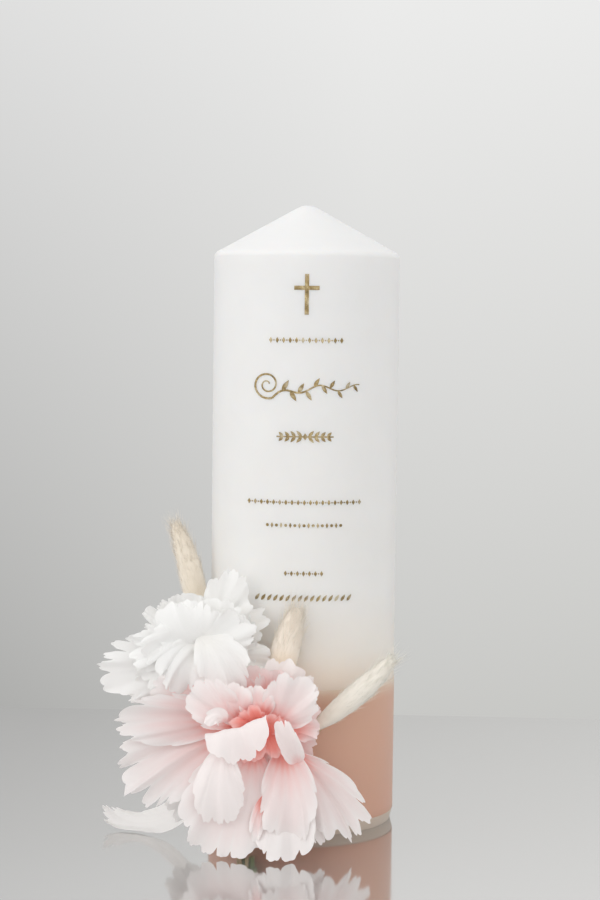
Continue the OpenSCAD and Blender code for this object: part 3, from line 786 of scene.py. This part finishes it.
TABLE_SIZE, TABLE_BACK, TABLE_TURN = (3.0, 1.6), 0.205, -2.4   # its far edge lies at TABLE_BACK
WALL_SIZE, WALL_Y, WALL_Z = (6.0, 2.4), 2.5, 0.2
WALL_LEFT, WALL_RIGHT = (0.25, 0.95), (0.45, 1.0)   # the wall's glow at its foot and at its top


def stage_plane(name, size, place, turn, material):
    bpy.ops.mesh.primitive_plane_add(size=1, location=place, rotation=turn)
    obj = bpy.context.object
    obj.name = name
    obj.scale = (*size, 1)
    bpy.ops.object.transform_apply(location=False, rotation=False, scale=True)
    obj.data.materials.append(material)


def table_material():
    """A polished pale table. Painted shade darkens its matt layer to the back and its gloss to the left."""
    m = Nodes("table_top")
    m.tree.nodes.remove(m.shader)
    matt = m.add("ShaderNodeBsdfDiffuse")
    # Painted shade: the matt layer darkens towards the back.
    painted_shade_to_back = m.ramp(m.span(m.axis("Y"), 0.48, 0.8), [(0.0, grey(0.27)), (1.0, grey(0.03))])
    m.link(painted_shade_to_back, matt.inputs["Color"])
    gloss = m.add("ShaderNodeBsdfGlossy")
    # Painted shade on the reflection: the gloss darkens to the left.
    painted_shade_to_left = m.ramp(m.span(m.axis("X"), -0.15, 0.15), [
        (place, (v, v * 0.995, v * 0.985)) for place, v in ((0.0, 0.8), (1.0, 0.95))])
    m.link(painted_shade_to_left, gloss.inputs["Color"])
    gloss.inputs["Roughness"].default_value = 0.09
    m.mix_shaders(0.78, matt, gloss)
    return m.material


def wall_material():
    """A wall that glows though it is no lamp, painted light that fades darker to its foot and to the left.
    """
    m = Nodes("wall")
    m.tree.nodes.remove(m.shader)
    height = m.span(m.axis("Y"), -WALL_SIZE[1] / 2, WALL_SIZE[1] / 2)
    # Painted light: darker at the foot and on the left, brighter at the top and on the right.
    left, right = (
        m.ramp(height, [(0.0, (foot, foot, foot * 0.95)), (1.0, grey(top))])
        for foot, top in (WALL_LEFT, WALL_RIGHT))
    glow = m.add("ShaderNodeEmission")
    m.link(m.mix(m.span(m.axis("X"), -0.5, 0.1), left, right), glow.inputs["Color"])
    m.link(glow.outputs[0], m.output.inputs["Surface"])
    return m.material


stage_plane("table", TABLE_SIZE, (0, TABLE_BACK - TABLE_SIZE[1] / 2, 0), (0, 0, math.radians(TABLE_TURN)),
            table_material())
stage_plane("wall", WALL_SIZE, (0, WALL_Y, WALL_Z), (math.pi / 2, 0, 0), wall_material())

world = bpy.data.worlds.new("studio")
scene.world = world
world.use_nodes = True
world.node_tree.nodes["Background"].inputs["Color"].default_value = (1.0, 0.998, 0.992, 1)
world.node_tree.nodes["Background"].inputs["Strength"].default_value = 0.93


def area_light(name, place, target, size, power, colour=(1, 1, 1)):
    data = bpy.data.lights.new(name, "AREA")
    data.shape = "RECTANGLE"
    data.size, data.size_y = size
    data.energy = power
    data.color = colour
    obj = bpy.data.objects.new(name, data)
    obj.location = place
    obj.rotation_euler = (Vector(target) - Vector(place)).to_track_quat("-Z", "Y").to_euler()
    scene.collection.objects.link(obj)


area_light("window", (-1.5, -0.8, 0.8), (0, 0, 0.12), size=(1.5, 1.5), power=6.2,
           colour=(1.0, 0.995, 0.985))
area_light("front_fill", (0.1, -1.8, 0.5), (0, 0, 0.1), size=(2.2, 1.6), power=5)

scene.view_settings.view_transform = "Standard"
scene.view_settings.look = "None"

PITCH, ROLL = 3.7, 0.7      # the camera looks down and leans by these angles, in degrees
camera_data = bpy.data.cameras.new("camera")
camera_data.lens = 85
camera_data.sensor_width = 36
camera = bpy.data.objects.new("camera", camera_data)
camera.location = (-0.0018, -0.805, 0.192)
look = Vector((0, math.cos(math.radians(PITCH)), -math.sin(math.radians(PITCH))))
straight = look.to_track_quat("-Z", "Y").to_matrix().to_4x4()
camera.rotation_euler = (straight @ Matrix.Rotation(math.radians(ROLL), 4, "Z")).to_euler()
scene.collection.objects.link(camera)
scene.camera = camera
